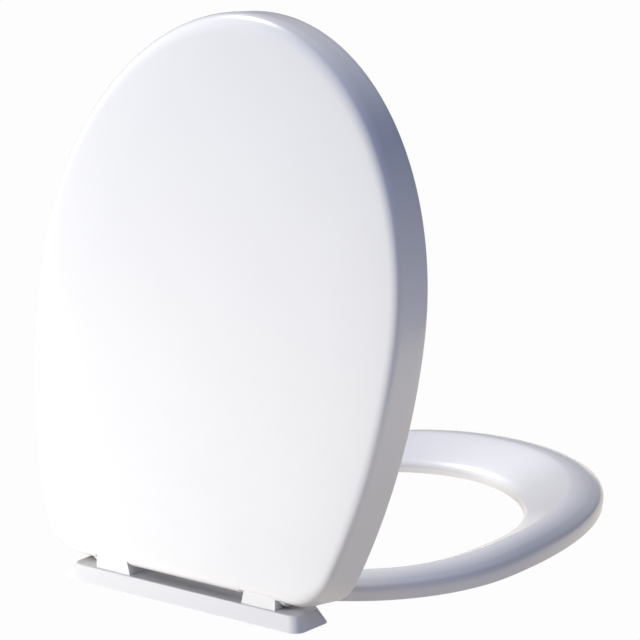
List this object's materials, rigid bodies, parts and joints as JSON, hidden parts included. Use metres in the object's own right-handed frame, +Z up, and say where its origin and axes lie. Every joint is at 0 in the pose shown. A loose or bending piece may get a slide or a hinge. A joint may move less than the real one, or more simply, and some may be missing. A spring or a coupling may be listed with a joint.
{
  "type": "toilet seat",
  "caption": "Moulded plastic toilet seat: an egg-shaped ring and a deep cap-like lid, both hinged on one bar that bolts to the pan through two slots.",
  "frame": {"origin": "on the underside of the hinge bar, midway between its two fixing slots", "axes": "+X along the hinge, -Y towards the tip of the lowered ring, +Z up; the lid stands raised as it is stored"},
  "size_m": [0.365, 0.4608, 0.4614],
  "materials": {
    "white_plastic": "gloss",
    "pin_plastic": "satin",
    "buffer_rubber": "matte"
  },
  "bodies": {
    "bar": {"hinge_bar": "white_plastic", "hinge_pin_left": "pin_plastic", "hinge_pin_right": "pin_plastic"},
    "ring": {"seat_ring": "white_plastic", "ring_buffer_front_left": "buffer_rubber", "ring_buffer_front_right": "buffer_rubber", "ring_buffer_rear_left": "buffer_rubber", "ring_buffer_rear_right": "buffer_rubber"},
    "lid": {"lid": "white_plastic", "lid_buffer_left": "buffer_rubber", "lid_buffer_right": "buffer_rubber"}
  },
  "joints": [
    {"name": "ring_hinge", "type": "hinge", "parent": "bar", "child": "ring", "pos_m": [0, 0.004, 0.023], "axis": [-1, 0, 0], "range_deg": [0, 35]},
    {"name": "lid_hinge", "type": "hinge", "parent": "ring", "child": "lid", "pos_m": [0, 0.004, 0.023], "axis": [-1, 0, 0], "range_deg": [-78, 0]}
  ]
}
